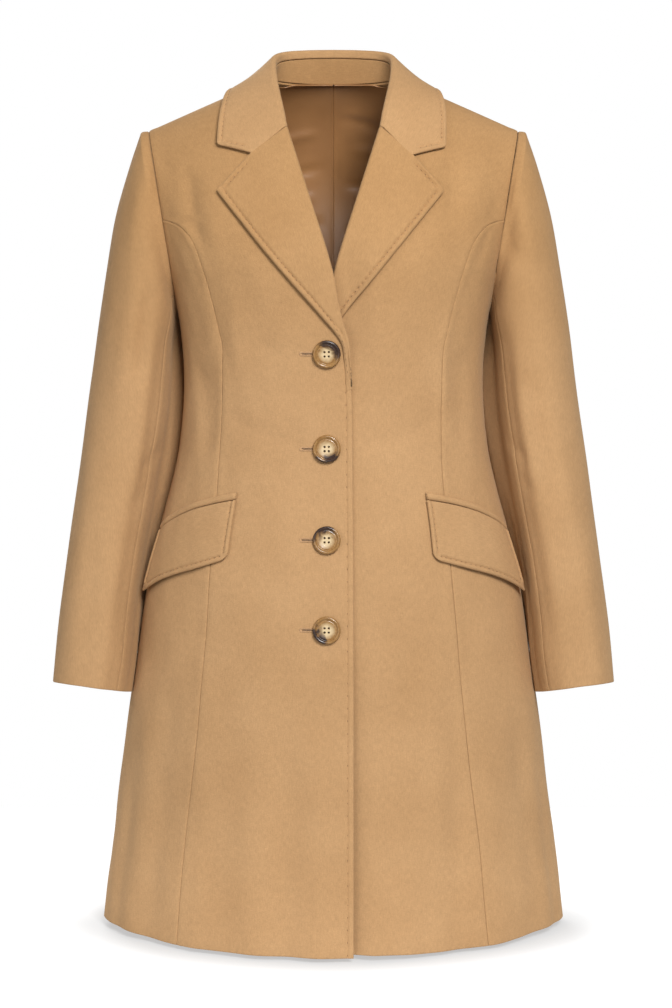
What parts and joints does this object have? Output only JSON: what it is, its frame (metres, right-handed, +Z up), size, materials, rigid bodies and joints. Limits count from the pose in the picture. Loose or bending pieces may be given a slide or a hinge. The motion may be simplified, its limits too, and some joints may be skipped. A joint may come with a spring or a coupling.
{
  "type": "wool overcoat",
  "caption": "Single-breasted princess-seamed wool overcoat with notched lapels, pocket flaps and horn-look buttons, hollow and open, in its worn form.",
  "frame": {"origin": "between the shoulders, at the height of the middle of the shoulder seams, where the wearer's shoulders hold the coat", "axes": "+Z up, +X to the wearer's left, -Y the way the coat's front faces"},
  "size_m": [0.605, 0.31, 0.95],
  "materials": {
    "wool": "matt camel wool with a short brushed nap",
    "satin": "smooth satin lining with a soft sheen",
    "horn": "polished horn look, mottled brown and cream"
  },
  "bodies": {
    "root": {"front_right": "wool", "front_left": "wool", "side_front_right": "wool", "side_front_left": "wool", "side_back_right": "wool", "side_back_left": "wool", "back_right": "wool", "back_left": "wool", "top_sleeve_right": "wool", "top_sleeve_left": "wool", "under_sleeve_right": "wool", "under_sleeve_left": "wool", "lapel_right": "wool", "lapel_left": "wool", "collar_fall": "wool", "collar_stand": "wool", "flap_right": "wool", "flap_left": "wool", "welt_right": "wool", "welt_left": "wool", "lining_back_right": "satin", "lining_back_left": "satin", "button_1": "horn", "button_2": "horn", "button_3": "horn", "button_4": "horn"}
  },
  "joints": []
}
